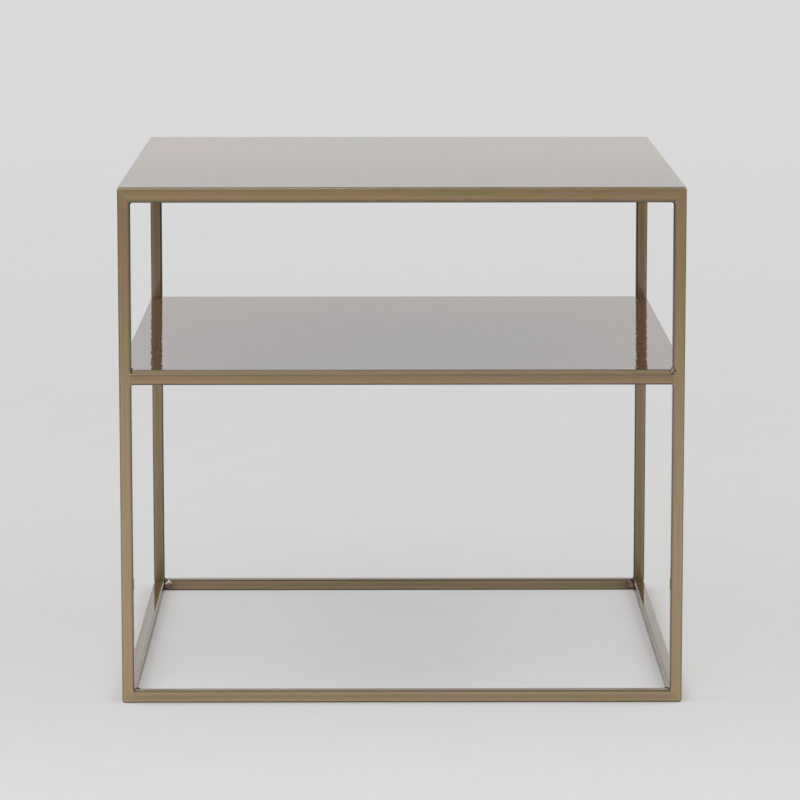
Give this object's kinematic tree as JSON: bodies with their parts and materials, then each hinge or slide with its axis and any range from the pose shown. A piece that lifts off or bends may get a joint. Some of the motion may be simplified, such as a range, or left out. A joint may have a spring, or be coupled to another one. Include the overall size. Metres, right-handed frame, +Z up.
{
  "type": "side table",
  "caption": "Square side table of slender welded square tube, with a sheet-metal top and a sheet-metal shelf over an open base frame.",
  "frame": {"origin": "on the floor, under the middle of the table", "axes": "+Z up, +Y towards the back, +X to the right when seen from the front"},
  "size_m": [0.55, 0.55, 0.509],
  "materials": {
    "tube_lacquer": "gloss bronze metallic lacquer, mottled along the tube",
    "sheet_lacquer": "high-gloss bronze metallic lacquer, clouded from side to side",
    "weld_lacquer": "gloss bronze metallic lacquer over rippled weld metal"
  },
  "bodies": {
    "root": {"leg_front_left": "tube_lacquer", "leg_front_right": "tube_lacquer", "leg_back_left": "tube_lacquer", "leg_back_right": "tube_lacquer", "top_rail_front": "tube_lacquer", "top_rail_back": "tube_lacquer", "top_rail_left": "tube_lacquer", "top_rail_right": "tube_lacquer", "shelf_rail_front": "tube_lacquer", "shelf_rail_back": "tube_lacquer", "shelf_rail_left": "tube_lacquer", "shelf_rail_right": "tube_lacquer", "base_rail_front": "tube_lacquer", "base_rail_back": "tube_lacquer", "base_rail_left": "tube_lacquer", "base_rail_right": "tube_lacquer", "seams_top_cross": "tube_lacquer", "seams_top_sides": "tube_lacquer", "seams_shelf_cross": "tube_lacquer", "seams_shelf_sides": "tube_lacquer", "ground_welds_top": "tube_lacquer", "ground_welds_shelf": "tube_lacquer", "ground_welds_base": "tube_lacquer", "top_sheet": "sheet_lacquer", "shelf_sheet": "sheet_lacquer", "welds_top_corners": "weld_lacquer", "welds_shelf_corners": "weld_lacquer", "welds_base_corners": "weld_lacquer", "welds_shelf_notches": "weld_lacquer", "tack_shelf_front_right": "weld_lacquer", "welds_top_sheet": "weld_lacquer", "welds_shelf_sheet": "weld_lacquer"}
  },
  "joints": []
}
